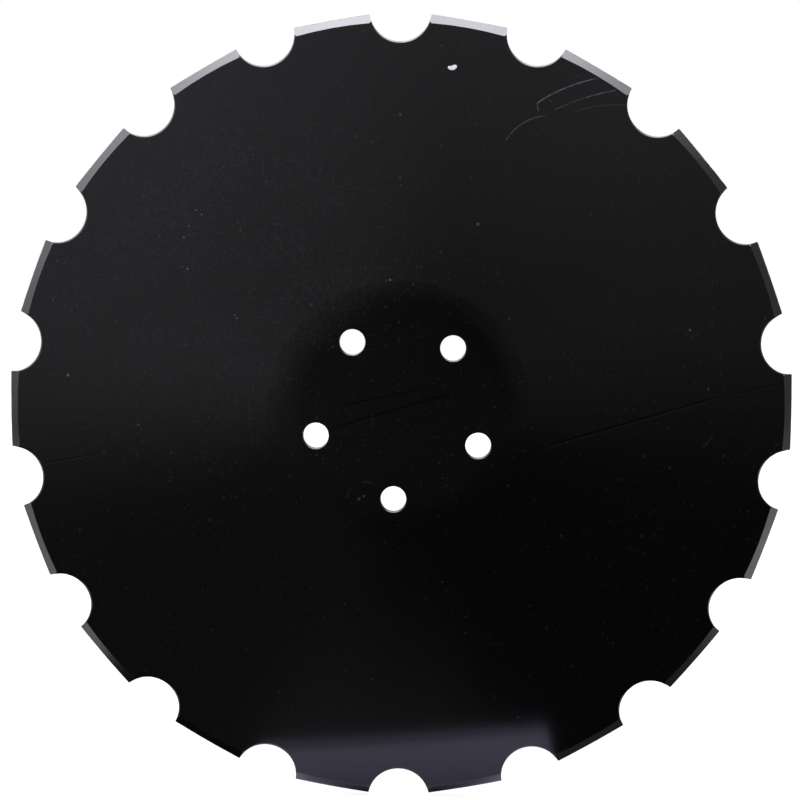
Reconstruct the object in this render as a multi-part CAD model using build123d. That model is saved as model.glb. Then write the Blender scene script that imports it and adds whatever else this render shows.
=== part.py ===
from build123d import *
import os
from math import cos, radians, tan

# Notched harrow disc: a conical disc blade, cut from steel plate and pressed in one piece.
#
# Frame, in millimetres: the disc turns about the Y axis. Its convex side faces -Y, its
# hollow side +Y, and +Z is up. The origin is the centre of the bolt circle, on the flat of
# the convex side, where a hub's flange sits.

# Plate and outline
PLATE_THICKNESS = 5.0
TOOTH_COUNT = 18              # straight-edged teeth, with a round notch between each two
TOOTH_EDGE_DISTANCE = 233.9   # axis to the middle of a tooth's edge: corners lie on 470 across
TOOTH_CORNER_ROUND = 0.8
NOTCH_RADIUS = 18.2
NOTCH_CENTRE_DISTANCE = 235.4
PUNCHED_EDGE_WIDTH = 1.6      # the punch draws down the edge of the side that it enters by:
PUNCHED_EDGE_DEPTH = 1.0      # so far in along the plate, and so deep

# Dish
CONE_ANGLE = 8.0              # between the dish and the flat
SEAT_DIAMETER = 136.0         # flat middle, which a hub's flange covers
SEAT_BEND = 140.0             # radius of the soft bend between the flat and the dish

# Sharpening, ground on the convex side of the rim
BEVEL_START_DISTANCE = 229.0
BEVEL_ANGLE = 33.0            # between the ground face and the dish

# Bolt holes
BOLT_COUNT = 5
BOLT_CIRCLE_DIAMETER = 100.0
BOLT_HOLE_DIAMETER = 15.0
BOLT_CIRCLE_TURN = 50.7       # degrees from +X towards +Z, to the first hole
BOLT_HOLE_EDGE_BREAK = 0.5

NODE = "disc_blade"

# Sizes that follow from those above
PITCH = 360.0 / TOOTH_COUNT
CLEAR = 10.0                  # how far the cutters stand past the plate
SEAT_RADIUS = SEAT_DIAMETER / 2
BLANK_RADIUS = TOOTH_EDGE_DISTANCE / cos(radians(PITCH / 2)) + CLEAR
DISH_SLOPE = tan(radians(CONE_ANGLE))
BEVEL_SLOPE = tan(radians(CONE_ANGLE + BEVEL_ANGLE))


def face_depth(distance):
    """How far the dish's convex side lies behind the flat, at a distance from the axis."""
    return (distance - SEAT_RADIUS) * DISH_SLOPE


BEVEL_START_DEPTH = face_depth(BEVEL_START_DISTANCE)
EDGE_DEPTH = BEVEL_START_DEPTH + (TOOTH_EDGE_DISTANCE - BEVEL_START_DISTANCE) * BEVEL_SLOPE


def turned(corners):
    """Solid turned about the disc's axis from its section: distance from the axis, depth."""
    return revolve(make_face(Polyline(*corners, close=True)), Axis.Y, 360)


def bent(plate, bend_radius, ring_radius):
    """Plate with its sharp ring of one radius rolled to a soft bend."""
    rings = plate.edges().filter_by(GeomType.CIRCLE)
    return fillet([ring for ring in rings if abs(ring.radius - ring_radius) < 0.001], bend_radius)


def dished_plate():
    """Round of plate with its flat and its conical dish, the same thickness all over."""
    thickness_along_axis = PLATE_THICKNESS / cos(radians(CONE_ANGLE))
    seat_radius_behind = SEAT_RADIUS - PLATE_THICKNESS * tan(radians(CONE_ANGLE / 2))
    plate = turned([
        (0, 0),
        (SEAT_RADIUS, 0),
        (BLANK_RADIUS, face_depth(BLANK_RADIUS)),
        (BLANK_RADIUS, face_depth(BLANK_RADIUS) + thickness_along_axis),
        (seat_radius_behind, PLATE_THICKNESS),
        (0, PLATE_THICKNESS),
    ])
    plate = bent(plate, SEAT_BEND, SEAT_RADIUS)
    return bent(plate, SEAT_BEND - PLATE_THICKNESS, seat_radius_behind)


def tooth_outline():
    """Flat outline of the blade: an 18-sided blank, with a notch out of each corner."""
    outline = RegularPolygon(
        TOOTH_EDGE_DISTANCE, TOOTH_COUNT, major_radius=False, rotation=PITCH / 2
    )
    top_notch = Pos(0, NOTCH_CENTRE_DISTANCE) * Circle(NOTCH_RADIUS)
    outline -= [Rot(Z=PITCH * step) * top_notch for step in range(TOOTH_COUNT)]
    return fillet(outline.vertices(), TOOTH_CORNER_ROUND)


def blanking_die():
    """The outline as a solid, tapered so that its walls stand square to the dish."""
    outline = tooth_outline()
    sections = []
    for depth in (-CLEAR, EDGE_DEPTH + CLEAR):
        growth = (EDGE_DEPTH - depth) * DISH_SLOPE / TOOTH_EDGE_DISTANCE
        plane = Plane(origin=(0, depth, 0), x_dir=(1, 0, 0), z_dir=(0, -1, 0))
        sections.append(plane * scale(outline, 1 + growth))
    return loft(sections, ruled=True)


def notch_edge_cutter():
    """Cone that breaks the edge of the top notch, standing square on the convex dish."""
    spread = PUNCHED_EDGE_WIDTH / PUNCHED_EDGE_DEPTH
    above = -PUNCHED_EDGE_DEPTH
    below = 2 * PUNCHED_EDGE_DEPTH
    cone = turned([
        (0, above),
        (NOTCH_RADIUS + (PUNCHED_EDGE_DEPTH - above) * spread, above),
        (NOTCH_RADIUS + (PUNCHED_EDGE_DEPTH - below) * spread, below),
        (0, below),
    ])
    centre = Pos(0, face_depth(NOTCH_CENTRE_DISTANCE), NOTCH_CENTRE_DISTANCE)
    return centre * Rot(X=-CONE_ANGLE) * cone


def ground_ring():
    """Ring of steel that the grinder takes off the rim to leave the bevel."""
    far = BLANK_RADIUS + CLEAR
    far_depth = BEVEL_START_DEPTH + (far - BEVEL_START_DISTANCE) * BEVEL_SLOPE
    return turned([
        (BEVEL_START_DISTANCE, BEVEL_START_DEPTH),
        (far, far_depth),
        (far, BEVEL_START_DEPTH - CLEAR),
        (BEVEL_START_DISTANCE, BEVEL_START_DEPTH - CLEAR),
    ])


def bolt_drill():
    """Drill for one bolt hole, standing on the seat, with both hole edges broken."""
    radius = BOLT_HOLE_DIAMETER / 2
    wide = radius + BOLT_HOLE_EDGE_BREAK + CLEAR
    return turned([
        (0, -CLEAR),
        (wide, -CLEAR),
        (radius, BOLT_HOLE_EDGE_BREAK),
        (radius, PLATE_THICKNESS - BOLT_HOLE_EDGE_BREAK),
        (wide, PLATE_THICKNESS + CLEAR),
        (0, PLATE_THICKNESS + CLEAR),
    ])


def around_axis(tool, count, first_turn):
    """Copies of a tool spaced evenly round the disc's axis."""
    return [Rot(Y=-(first_turn + 360.0 / count * step)) * tool for step in range(count)]


def disc_blade():
    """The finished blade: dished and cut out, ground round the rim, and drilled."""
    blade = dished_plate() & blanking_die()
    blade -= around_axis(notch_edge_cutter(), TOOTH_COUNT, 0)
    blade -= ground_ring()
    drill = Pos(BOLT_CIRCLE_DIAMETER / 2, 0, 0) * bolt_drill()
    blade -= around_axis(drill, BOLT_COUNT, BOLT_CIRCLE_TURN)
    return blade


os.makedirs("parts", exist_ok=True)
export_step(disc_blade(), "parts/" + NODE + ".step")
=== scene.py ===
from math import cos, pi, radians, sin, tan

import bmesh
import bpy
from mathutils import Matrix, Vector


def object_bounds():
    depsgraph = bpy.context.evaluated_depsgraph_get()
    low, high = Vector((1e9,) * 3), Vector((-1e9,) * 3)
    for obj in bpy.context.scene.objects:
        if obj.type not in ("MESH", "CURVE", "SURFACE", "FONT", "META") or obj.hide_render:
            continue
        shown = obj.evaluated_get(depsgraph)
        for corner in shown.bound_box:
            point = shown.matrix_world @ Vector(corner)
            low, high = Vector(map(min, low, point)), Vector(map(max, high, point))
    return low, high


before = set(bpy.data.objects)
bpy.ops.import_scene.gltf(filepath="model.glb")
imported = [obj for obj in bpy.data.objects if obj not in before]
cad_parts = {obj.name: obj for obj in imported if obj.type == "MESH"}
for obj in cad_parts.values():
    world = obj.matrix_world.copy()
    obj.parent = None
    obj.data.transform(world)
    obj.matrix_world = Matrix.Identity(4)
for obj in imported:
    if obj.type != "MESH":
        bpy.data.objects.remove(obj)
cad_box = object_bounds()
lowest = cad_box[0][2]

# Camera
# It stands a metre in front of the convex side, a little above the disc's axis and a
# little to its right, and looks almost square on to the flat.
SENSOR_WIDTH = 36.0             # millimetres, as Blender gives them
LENS = 77.08
CAMERA_DISTANCE = 0.9993
CAMERA_TO_THE_RIGHT = 1.22      # degrees
CAMERA_ABOVE = 4.54
CAMERA_ROLL = 0.16
CAMERA_AIM = Vector((0.00085, 0.0, 0.00837))


def toward(azimuth, elevation):
    """Unit vector from the disc: azimuth 0 is its front, 90 its right-hand side."""
    turn, rise = radians(azimuth), radians(elevation)
    return Vector((sin(turn) * cos(rise), -cos(turn) * cos(rise), sin(rise)))


camera_data = bpy.data.cameras.new("camera")
camera_data.sensor_width = SENSOR_WIDTH
camera_data.lens = LENS
camera = bpy.data.objects.new("camera", camera_data)
bpy.context.scene.collection.objects.link(camera)
line_of_sight = toward(CAMERA_TO_THE_RIGHT, CAMERA_ABOVE)
turn = line_of_sight.to_track_quat("Z", "Y").to_matrix().to_4x4()
roll = Matrix.Rotation(radians(CAMERA_ROLL), 4, "Z")
camera.matrix_world = Matrix.Translation(CAMERA_AIM + CAMERA_DISTANCE * line_of_sight) @ turn @ roll
bpy.context.scene.camera = camera


# Disc blade
# Boron steel plate, cut, pressed and hardened in one piece, then dipped in black paint
# that covers the ground bevel too. The CAD solid is shown as it is. Sizes are in metres.
BEVEL_START_DISTANCE = 0.2290
BEVEL_START_DEPTH = 0.02263
BEVEL_SLOPE = tan(radians(41.0))
TOOTH_EDGE_DISTANCE = 0.2339
TOOTH_PITCH = radians(20.0)
CONE_ANGLE = radians(8.0)
SEAT_RADIUS = 0.068
NOTCH_CENTRE_DISTANCE = 0.2354
NOTCH_RADIUS = 0.0182
PUNCHED_EDGE_WIDTH = 0.0016

PAINT_COLOUR = (0.0020, 0.0018, 0.0019, 1.0)
PAINT_ROUGHNESS = 0.15
CLOUD_ROUGHNESS = 0.07        # how much the gloss changes from cloud to cloud
STREAK_COLOUR = (0.0003, 0.0003, 0.0003, 1.0)
DUST_COLOUR = (0.30, 0.30, 0.32, 1.0)
FLAKE_COLOUR = (0.92, 0.92, 0.92, 1.0)
MARK_ROUGHNESS = 0.5
CONVEX_SKIN = 0.0006          # how far behind the convex faces the paint is still theirs
BEVEL_SKIN = 0.0001
EDGE_WEAR = (0.0007, 0.0001)  # from the outer edge: where the wear starts, where it is full
PEEL_HEIGHT = 0.0000015
WAVE_HEIGHT = 0.00004
STREAK_DEPTH = 0.00006
GRINDING_HEIGHT = 0.000012
GRINDING_LINES = 2600.0       # to a metre, across the bevel
GRINDING_BREAKS = 9.0         # to a radian, along each line

# Dust, thickest in a patch at the upper left: the patch's centre, its full part and its
# reach, and the share of dust everywhere else.
DUST_PATCH_CENTRE = (-0.115, 0.085)
DUST_PATCH_FULL = 0.03
DUST_PATCH_REACH = 0.16
THIN_DUST = 0.12
HAZE_STRENGTH = 0.022
# Specks from fine to coarse: cell, radius, share of the cells, strength.
SPECKS = [
    (0.0026, 0.00100, 0.80, 0.045),
    (0.0080, 0.00110, 0.45, 0.08),
    (0.0260, 0.00120, 0.30, 0.20),
]

# Arcs that something hard has drawn across the paint, most of them at the upper right:
# centre x and z, radius, from and to degrees, half width, strength.
SCRATCH_ARCS = [
    (0.1336, 0.1032, 0.0948, 100, 125, 0.00045, 0.30),
    (0.0846, 0.1796, 0.0042, 115, 225, 0.00040, 0.18),
    (0.1509, 0.0525, 0.1390, 100, 108, 0.00045, 0.24),
    (0.1509, 0.0525, 0.1390, 108, 116, 0.00040, 0.12),
    (0.1286, 0.0989, 0.0821, 86, 110, 0.00040, 0.06),
    (0.0881, 0.1436, 0.0307, 94, 150, 0.00045, 0.15),
    (-0.0190, -0.0512, 0.0113, 68, 104, 0.00100, 0.030),
    (-0.0190, -0.0512, 0.0113, 138, 172, 0.00100, 0.025),
    (0.2214, -0.0485, 0.0500, 135, 146, 0.00080, 0.030),
    (0.2012, 0.0041, 0.0500, 119, 127, 0.00080, 0.030),
]
# Long straight streaks, where the disc was dragged: start, end, half width, strength.
DRAG_MARKS = [
    ((-0.0422, 0.0020), (0.0241, 0.0172), 0.0012, 0.6),
    ((-0.0410, -0.0096), (0.0358, 0.0136), 0.0015, 0.9),
    ((-0.0383, -0.0196), (0.0457, 0.0050), 0.0022, 0.35),
    ((-0.0184, 0.0287), (0.0124, 0.0417), 0.0014, 0.4),
    ((0.0780, -0.0214), (0.1950, 0.0110), 0.0013, 0.75),
    ((0.1860, 0.0085), (0.2270, 0.0170), 0.0012, 0.35),
    ((0.1170, 0.0484), (0.1460, 0.0590), 0.0008, 0.4),
    ((-0.2150, -0.0330), (-0.1800, -0.0260), 0.0008, 0.5),
]
# Single flecks that stick to the paint: x, z, radius, strength.
FLECKS = [
    (-0.1246, 0.0843, 0.0008, 0.24),
    (-0.1269, 0.1027, 0.0006, 0.28),
    (-0.1239, 0.1094, 0.0006, 0.21),
    (-0.1197, 0.1188, 0.0006, 0.24),
    (-0.1163, 0.1161, 0.0006, 0.21),
    (-0.0934, 0.1071, 0.0006, 0.21),
    (-0.0951, 0.0556, 0.0009, 0.15),
    (-0.0965, 0.0575, 0.0007, 0.15),
    (0.0458, 0.1108, 0.0011, 0.13),
    (0.1711, 0.0492, 0.0008, 0.28),
    (-0.1975, 0.0210, 0.0010, 0.32),
    (-0.0052, 0.0782, 0.0009, 0.17),
    (-0.0385, 0.0392, 0.0006, 0.14),
    (-0.0230, -0.0500, 0.0011, 0.11),
    (-0.0202, -0.0482, 0.0009, 0.11),
]
# A white flake near the upper edge: the overlapping spots that it is made of.
FLAKE_SPOTS = [
    (0.0289, 0.2022, 0.0012),
    (0.0300, 0.2019, 0.0015),
    (0.0311, 0.2022, 0.0017),
    (0.0321, 0.2027, 0.0014),
]


def node(tree, kind, inputs=None, **settings):
    """A node with its settings and its inputs: a value, or the socket that feeds it."""
    made = tree.nodes.new(kind)
    for name, value in settings.items():
        setattr(made, name, value)
    for key, value in (inputs or {}).items():
        if isinstance(value, bpy.types.NodeSocket):
            tree.links.new(value, made.inputs[key])
        else:
            made.inputs[key].default_value = value
    return made


def maths(tree, operation, *values):
    """Result of a Math node."""
    return node(tree, "ShaderNodeMath", dict(enumerate(values)), operation=operation).outputs[0]


def fade(tree, value, start, end, low=0.0, high=1.0):
    """Low up to the start, high from the end on, and a smooth rise between them."""
    return node(tree, "ShaderNodeMapRange", {
        "Value": value, "From Min": start, "From Max": end, "To Min": low, "To Max": high,
    }, interpolation_type="SMOOTHSTEP").outputs["Result"]


def largest(tree, masks):
    """The largest of several masks at each place."""
    total = masks[0]
    for mask in masks[1:]:
        total = maths(tree, "MAXIMUM", total, mask)
    return total


def noise(tree, vector, scale, detail=2.0, roughness=0.5):
    """Even noise from 0 to 1."""
    return node(tree, "ShaderNodeTexNoise", {
        "Vector": vector, "Scale": scale, "Detail": detail, "Roughness": roughness,
    }).outputs[0]


def new_material(name):
    """An empty material and its node tree."""
    material = bpy.data.materials.new(name)
    material.use_nodes = True
    material.node_tree.nodes.clear()
    return material, material.node_tree


def spot(tree, flat, x, z, radius, strength=1.0):
    """Mask of a small round spot at a place on the flat drawing of the disc."""
    away = node(tree, "ShaderNodeVectorMath", {0: flat, 1: (x, z, 0)}, operation="DISTANCE")
    return fade(tree, away.outputs["Value"], radius, 0.6 * radius, 0.0, strength)


def arc_scratch(tree, flat, x, z, radius, start, end, half_width, strength):
    """Mask of a scratch along an arc."""
    from_centre = node(tree, "ShaderNodeVectorMath", {0: flat, 1: (x, z, 0)}, operation="SUBTRACT")
    offset = from_centre.outputs["Vector"]
    reach = node(tree, "ShaderNodeVectorMath", {0: offset}, operation="LENGTH").outputs["Value"]
    miss = maths(tree, "ABSOLUTE", maths(tree, "SUBTRACT", reach, radius))
    line = fade(tree, miss, half_width, 0.3 * half_width, 0.0, strength)
    middle = radians((start + end) / 2)
    facing = node(tree, "ShaderNodeVectorMath", {0: offset, 1: (cos(middle), sin(middle), 0)},
                  operation="DOT_PRODUCT").outputs["Value"]
    along = maths(tree, "DIVIDE", facing, reach)
    half_turn = radians((end - start) / 2)
    return maths(tree, "MULTIPLY", line, fade(tree, along, cos(half_turn), cos(0.85 * half_turn)))


def drag_mark(tree, flat, start, end, half_width, strength):
    """Mask of a straight mark that fades out at both ends."""
    first, last = Vector(start), Vector(end)
    length = (last - first).length
    direction = (last - first) / length
    from_start = node(tree, "ShaderNodeVectorMath", {0: flat, 1: (*start, 0)}, operation="SUBTRACT")
    offset = from_start.outputs["Vector"]
    along = node(tree, "ShaderNodeVectorMath", {0: offset, 1: (*direction, 0)},
                 operation="DOT_PRODUCT").outputs["Value"]
    across = node(tree, "ShaderNodeVectorMath", {0: offset, 1: (-direction.y, direction.x, 0)},
                  operation="DOT_PRODUCT").outputs["Value"]
    line = fade(tree, maths(tree, "ABSOLUTE", across), half_width, 0.0, 0.0, strength)
    begun = fade(tree, along, 0.0, 0.15 * length)
    going = fade(tree, along, length, 0.85 * length)
    return maths(tree, "MULTIPLY", line, maths(tree, "MULTIPLY", begun, going))


def dust(tree, flat, thickness, cell, radius, share, strength):
    """Mask of small round specks, in a share of the cells of a random pattern."""
    cells = node(tree, "ShaderNodeTexVoronoi", {"Vector": flat, "Scale": 1 / cell},
                 voronoi_dimensions="2D")
    near = fade(tree, cells.outputs["Distance"], radius / cell, 0.0)
    chance = node(tree, "ShaderNodeSeparateColor", {"Color": cells.outputs["Color"]})
    chosen = maths(tree, "LESS_THAN", chance.outputs["Red"],
                   maths(tree, "MULTIPLY", thickness, share))
    faint = maths(tree, "MULTIPLY_ADD", chance.outputs["Green"], 0.8 * strength, 0.2 * strength)
    return maths(tree, "MULTIPLY", maths(tree, "MULTIPLY", near, chosen), faint)


def punched_edge_normal(tree, flat, distance, bearing, convex):
    """Surface normal, in which only the part of a notch's edge beside its wall turns over."""
    wall_start = NOTCH_RADIUS + 0.10 * PUNCHED_EDGE_WIDTH
    wall_end = NOTCH_RADIUS + 0.45 * PUNCHED_EDGE_WIDTH
    edge_end = NOTCH_RADIUS + 1.05 * PUNCHED_EDGE_WIDTH

    surface = node(tree, "ShaderNodeNewGeometry").outputs["Normal"]
    outward = node(tree, "ShaderNodeVectorMath", {0: flat}, operation="NORMALIZE").outputs["Vector"]
    out = node(tree, "ShaderNodeSeparateXYZ", {0: outward})
    face = node(tree, "ShaderNodeCombineXYZ", {
        0: maths(tree, "MULTIPLY", out.outputs[0], sin(CONE_ANGLE)),
        1: -cos(CONE_ANGLE),
        2: maths(tree, "MULTIPLY", out.outputs[1], sin(CONE_ANGLE)),
    }).outputs[0]
    face = node(tree, "ShaderNodeVectorTransform", {0: face}, vector_type="NORMAL",
                convert_from="OBJECT", convert_to="WORLD").outputs[0]

    # how far a place is from the centre of the nearest notch
    turned = maths(tree, "SUBTRACT", bearing, TOOTH_PITCH / 2)
    notch = maths(tree, "ROUND", maths(tree, "DIVIDE", turned, TOOTH_PITCH))
    off_notch = maths(tree, "SUBTRACT", turned, maths(tree, "MULTIPLY", notch, TOOTH_PITCH))
    outwards = maths(tree, "MULTIPLY", distance, maths(tree, "COSINE", off_notch))
    along = maths(tree, "SUBTRACT", outwards, NOTCH_CENTRE_DISTANCE)
    across = maths(tree, "MULTIPLY", distance, maths(tree, "SINE", off_notch))
    from_notch = node(tree, "ShaderNodeCombineXYZ", {0: along, 1: across}).outputs[0]
    reach = node(tree, "ShaderNodeVectorMath", {0: from_notch}, operation="LENGTH").outputs["Value"]

    at_wall = fade(tree, reach, wall_end, wall_start)
    near_notch = maths(tree, "LESS_THAN", reach, edge_end)
    on_dish = maths(tree, "LESS_THAN", distance, BEVEL_START_DISTANCE)
    as_face = maths(tree, "MULTIPLY", maths(tree, "MULTIPLY", near_notch, on_dish),
                    maths(tree, "MULTIPLY", convex, maths(tree, "SUBTRACT", 1.0, at_wall)))
    mixed = node(tree, "ShaderNodeMix", {0: as_face, 4: surface, 5: face}, data_type="VECTOR")
    return node(tree, "ShaderNodeVectorMath", {0: mixed.outputs[1]},
                operation="NORMALIZE").outputs["Vector"]


def black_paint():
    """Satin black paint, with the dust, flecks, scratches and drag marks that it carries."""
    material, tree = new_material("black_paint")
    place = node(tree, "ShaderNodeTexCoord").outputs["Object"]
    axes = node(tree, "ShaderNodeSeparateXYZ", {0: place})
    x, depth, z = (axes.outputs[name] for name in "XYZ")
    flat = node(tree, "ShaderNodeCombineXYZ", {0: x, 1: z}).outputs[0]
    distance = node(tree, "ShaderNodeVectorMath", {0: flat}, operation="LENGTH").outputs["Value"]
    bearing = maths(tree, "ARCTAN2", z, x)

    # the convex side, and the ground bevel on it
    cone = maths(tree, "MULTIPLY", maths(tree, "SUBTRACT", distance, SEAT_RADIUS), tan(CONE_ANGLE))
    behind = maths(tree, "SUBTRACT", depth, maths(tree, "MAXIMUM", cone, 0.0))
    convex = fade(tree, behind, 2 * CONVEX_SKIN, CONVEX_SKIN)
    along_bevel = maths(tree, "SUBTRACT", distance, BEVEL_START_DISTANCE)
    bevel_depth = maths(tree, "MULTIPLY_ADD", along_bevel, BEVEL_SLOPE, BEVEL_START_DEPTH)
    off_bevel = maths(tree, "ABSOLUTE", maths(tree, "SUBTRACT", depth, bevel_depth))
    past_start = maths(tree, "GREATER_THAN", distance, BEVEL_START_DISTANCE)
    bevel = maths(tree, "MULTIPLY", fade(tree, off_bevel, 3 * BEVEL_SKIN, BEVEL_SKIN), past_start)

    # what lies on the paint or is scratched into it
    off_patch = node(tree, "ShaderNodeVectorMath", {0: flat, 1: (*DUST_PATCH_CENTRE, 0)},
                     operation="DISTANCE").outputs["Value"]
    in_patch = fade(tree, off_patch, DUST_PATCH_REACH, DUST_PATCH_FULL, low=THIN_DUST)
    drifts = fade(tree, noise(tree, place, scale=26.0), 0.35, 0.62, low=0.3)
    thickness = maths(tree, "MULTIPLY", in_patch, drifts)
    grain = noise(tree, place, scale=380.0, detail=3.0, roughness=0.7)
    haze = fade(tree, grain, 0.42, 0.72, high=HAZE_STRENGTH)
    specks = largest(tree, [
        maths(tree, "MULTIPLY", haze, thickness),
        *(dust(tree, flat, thickness, *size) for size in SPECKS),
    ])
    flecks = largest(tree, [spot(tree, flat, *fleck) for fleck in FLECKS])
    scratches = largest(tree, [arc_scratch(tree, flat, *arc) for arc in SCRATCH_ARCS])
    skips = fade(tree, noise(tree, place, scale=350.0), 0.3, 0.55, low=0.45)
    scratches = maths(tree, "MULTIPLY", scratches, skips)
    drawn = maths(tree, "MULTIPLY", maths(tree, "MAXIMUM", flecks, scratches), convex)

    # wear along the teeth: paint rubbed off in short lengths of the outer edge
    tooth = maths(tree, "ROUND", maths(tree, "DIVIDE", bearing, TOOTH_PITCH))
    off_middle = maths(tree, "SUBTRACT", bearing, maths(tree, "MULTIPLY", tooth, TOOTH_PITCH))
    reach = maths(tree, "MULTIPLY", distance, maths(tree, "COSINE", off_middle))
    wear_start, wear_full = (TOOTH_EDGE_DISTANCE - inset for inset in EDGE_WEAR)
    at_edge = fade(tree, reach, wear_start, wear_full)
    rubbed = fade(tree, noise(tree, place, scale=260.0, detail=4.0), 0.50, 0.62, high=0.5)
    wear = maths(tree, "MULTIPLY", at_edge, rubbed)

    pale = largest(tree, [specks, drawn, wear])
    flake = largest(tree, [spot(tree, flat, *part) for part in FLAKE_SPOTS])
    flake = maths(tree, "MULTIPLY", flake, convex)
    streaks = largest(tree, [drag_mark(tree, flat, *mark) for mark in DRAG_MARKS])
    streaks = maths(tree, "MULTIPLY", streaks, convex)
    paint = node(tree, "ShaderNodeMix", {0: streaks, 6: PAINT_COLOUR, 7: STREAK_COLOUR},
                 data_type="RGBA")
    dusty = node(tree, "ShaderNodeMix", {0: pale, 6: paint.outputs[2], 7: DUST_COLOUR},
                 data_type="RGBA")
    colour = node(tree, "ShaderNodeMix", {0: flake, 6: dusty.outputs[2], 7: FLAKE_COLOUR},
                  data_type="RGBA")

    # gloss: cloudy all over, dull where something lies on the paint
    clouds = noise(tree, place, scale=22.0, detail=5.0, roughness=0.6)
    roughness = maths(tree, "MULTIPLY_ADD", clouds, CLOUD_ROUGHNESS,
                      PAINT_ROUGHNESS - CLOUD_ROUGHNESS / 2)
    dusted = maths(tree, "MINIMUM", maths(tree, "MULTIPLY", pale, 4.0), 1.0)
    dull = maths(tree, "MAXIMUM", dusted, flake)
    roughness = node(tree, "ShaderNodeMix", {0: dull, 2: roughness, 3: MARK_ROUGHNESS}).outputs[0]

    # relief: orange peel, a slow wave of the pressed plate, streaks, grinding lines
    peel = noise(tree, place, scale=520.0, detail=1.0)
    wave = noise(tree, place, scale=14.0, detail=0.0)
    ring = node(tree, "ShaderNodeCombineXYZ", {
        0: maths(tree, "MULTIPLY", distance, GRINDING_LINES),
        1: maths(tree, "MULTIPLY", bearing, GRINDING_BREAKS),
    }).outputs[0]
    lines = noise(tree, ring, scale=1.0, detail=3.0, roughness=0.6)
    grinding = maths(tree, "MULTIPLY", lines, bevel)
    relief = punched_edge_normal(tree, flat, distance, bearing, convex)
    for height, size in (
        (peel, PEEL_HEIGHT), (wave, WAVE_HEIGHT), (streaks, -STREAK_DEPTH),
        (grinding, GRINDING_HEIGHT),
    ):
        relief = node(tree, "ShaderNodeBump", {
            "Strength": 1.0, "Distance": size, "Height": height, "Normal": relief,
        }).outputs["Normal"]

    shader = node(tree, "ShaderNodeBsdfPrincipled", {
        "Base Color": colour.outputs[2],
        "Roughness": roughness,
        "Normal": relief,
    })
    node(tree, "ShaderNodeOutputMaterial", {"Surface": shader.outputs["BSDF"]})
    return material


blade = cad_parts["disc_blade"]
blade.data.materials.clear()
blade.data.materials.append(black_paint())


# Floor
# A plain pale floor under the lowest teeth, and on it the lilac block that the foot of
# the disc reflects. Around the block lies a darker sheet, painted shade that softens the edge of
# the block's reflection.
WHITE_SHARE = 0.85              # how much of the floor's colour the camera sees as white
FLOOR_REACH = 4.0
FLOOR_DROP = 0.0005             # how far below the lowest teeth each sheet lies
FLOOR_COLOUR = (0.8, 0.8, 0.8, 1)
BLOCK_CORNERS = [(-0.094, -0.021), (0.103, -0.048), (0.094, 0.1), (-0.080, 0.1)]
BLOCK_DROP = 0.0002
BLOCK_COLOUR = (0.50, 0.48, 0.62, 1)
# painted shade: a darker sheet around the block, which the paint reflects as a soft edge
SHADE_RIM_CORNERS = [(-0.097, -0.035), (0.106, -0.060), (0.097, 0.1), (-0.083, 0.1)]
SHADE_RIM_DROP = 0.0003
SHADE_RIM_COLOUR = (0.25, 0.24, 0.31, 1)


def stage_material(name, colour):
    """Matt stage material, drawn white to the camera apart from the shade it keeps."""
    material, tree = new_material(name)
    matt = node(tree, "ShaderNodeBsdfDiffuse", {"Color": colour})
    white = node(tree, "ShaderNodeEmission", {"Color": (1, 1, 1, 1), "Strength": 1.0})
    path = node(tree, "ShaderNodeLightPath")
    share = maths(tree, "MULTIPLY", path.outputs["Is Camera Ray"], WHITE_SHARE)
    mixed = node(tree, "ShaderNodeMixShader", {
        0: share, 1: matt.outputs["BSDF"], 2: white.outputs["Emission"],
    })
    node(tree, "ShaderNodeOutputMaterial", {"Surface": mixed.outputs[0]})
    return material


def level_sheet(name, corners, height, material):
    """Four-sided sheet of the stage, level at a height."""
    shape = bmesh.new()
    shape.faces.new([shape.verts.new((x, y, height)) for x, y in corners])
    mesh = bpy.data.meshes.new(name)
    shape.to_mesh(mesh)
    shape.free()
    mesh.materials.append(material)
    made = bpy.data.objects.new(name, mesh)
    bpy.context.scene.collection.objects.link(made)
    return made


floor_corners = [(-FLOOR_REACH, -FLOOR_REACH), (FLOOR_REACH, -FLOOR_REACH),
                 (FLOOR_REACH, FLOOR_REACH), (-FLOOR_REACH, FLOOR_REACH)]
floor = level_sheet("floor", floor_corners, lowest - FLOOR_DROP,
                    stage_material("floor", FLOOR_COLOUR))
floor.visible_glossy = False
floor.visible_diffuse = False
block = level_sheet("block", BLOCK_CORNERS, lowest - BLOCK_DROP,
                    stage_material("block", BLOCK_COLOUR))
# the darker sheet around the block is painted shade, not a part of the block
shade_rim = level_sheet("block_shade_rim", SHADE_RIM_CORNERS, lowest - SHADE_RIM_DROP,
                  stage_material("block_shade_rim", SHADE_RIM_COLOUR))
# only the paint's reflections show them
for sheet in (block, shade_rim):
    sheet.visible_camera = False
    sheet.visible_diffuse = False
    sheet.visible_shadow = False

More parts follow.
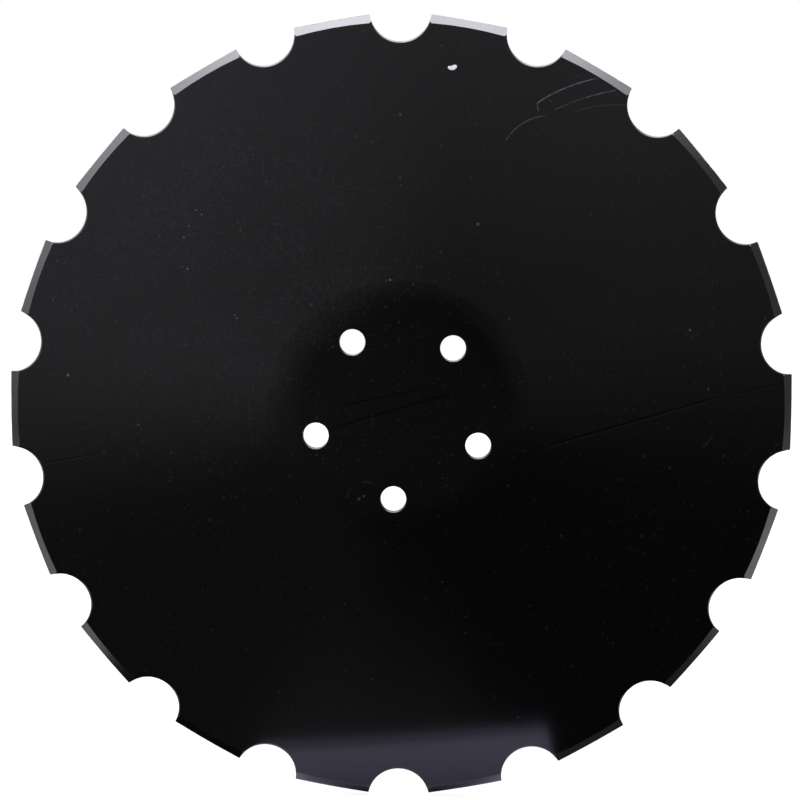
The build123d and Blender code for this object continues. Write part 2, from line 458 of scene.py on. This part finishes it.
# Studio
# A softbox overhead and a dim room around the disc. The camera sees plain white instead,
# and the paint reflects the room: azimuths, elevations, softness of the edges (all in
# degrees) and brightness.
ROOM = [
    ((-200, 200), (-100, 100), 1, 0.026),   # dark walls
    ((-200, 200), (63, 100), 19, 9.0),      # softbox overhead
    ((-80, -20), (-7, 60), 7, 0.19),        # wall on the left, down to the table's far edge
    ((-60, -8), (-2, 60), 14, 0.24),
    ((-40, 55), (19, 60), 12, 0.42),        # wall above the camera
    ((13, 77), (-3, 60), 10, 0.17),         # wall on the right
    ((-12, 22), (-7, -4), 2, 0.05),         # the camera and its stand
    ((-70, -5), (-40, 4), 4, 0.045),        # table on the left
    ((-14, 6), (-60, -29), 3, 0.11),        # table in front
    ((-150, -64), (-1, 100), 22, 1.8),      # spill of the softbox on the left
    ((-150, -64), (33, 100), 22, 3.0),
    ((60, 150), (-20, 100), 23, 0.38),      # and on the right
    ((60, 150), (47, 100), 15, 2.7),
    ((-120, -60), (-42, -11), 3, 1.3),      # bright cards low on both sides
    ((60, 120), (-36, -16), 13, 1.8),
    ((60, 150), (-75, -46), 5, 0.13),
    ((130, 200), (-10, 60), 25, 0.5),       # wall behind the disc
    ((-200, -130), (-10, 60), 25, 0.5),
]
DIM_COLOUR = (1.07, 0.95, 1.0, 1)         # the dim parts are warm, the lit parts cool
LIT_COLOUR = (0.975, 0.96, 1.045, 1)
DIM_BRIGHTNESS = 0.05
LIT_BRIGHTNESS = 0.18


def studio_world():
    """A white background to the camera, and the dim room to everything else."""
    world = bpy.data.worlds.new("studio")
    bpy.context.scene.world = world
    world.use_nodes = True
    tree = world.node_tree
    tree.nodes.clear()
    direction = node(tree, "ShaderNodeTexCoord").outputs["Generated"]
    axes = node(tree, "ShaderNodeSeparateXYZ", {0: direction})
    front = maths(tree, "MULTIPLY", axes.outputs[1], -1.0)
    azimuth = maths(tree, "MULTIPLY", maths(tree, "ARCTAN2", axes.outputs[0], front), 180 / pi)
    elevation = maths(tree, "MULTIPLY", maths(tree, "ARCSINE", axes.outputs[2]), 180 / pi)
    total = 0.0
    for azimuths, elevations, softness, brightness in ROOM:
        panel = brightness
        for angle, (low, high) in ((azimuth, azimuths), (elevation, elevations)):
            for edge, way in ((low, 1), (high, -1)):
                inside = fade(tree, angle, edge - way * softness, edge + way * softness)
                panel = maths(tree, "MULTIPLY", inside, panel)
        total = maths(tree, "ADD", panel, total)
    tone = node(tree, "ShaderNodeMix", {
        0: fade(tree, total, DIM_BRIGHTNESS, LIT_BRIGHTNESS), 6: DIM_COLOUR, 7: LIT_COLOUR,
    }, data_type="RGBA")
    room = node(tree, "ShaderNodeBackground", {"Color": tone.outputs[2], "Strength": total})
    white = node(tree, "ShaderNodeBackground", {"Color": (1, 1, 1, 1), "Strength": 1.0})
    path = node(tree, "ShaderNodeLightPath")
    mixed = node(tree, "ShaderNodeMixShader", {
        0: path.outputs["Is Camera Ray"], 1: room.outputs[0], 2: white.outputs[0],
    })
    node(tree, "ShaderNodeOutputWorld", {"Surface": mixed.outputs[0]})


studio_world()
bpy.context.scene.view_settings.view_transform = "Standard"
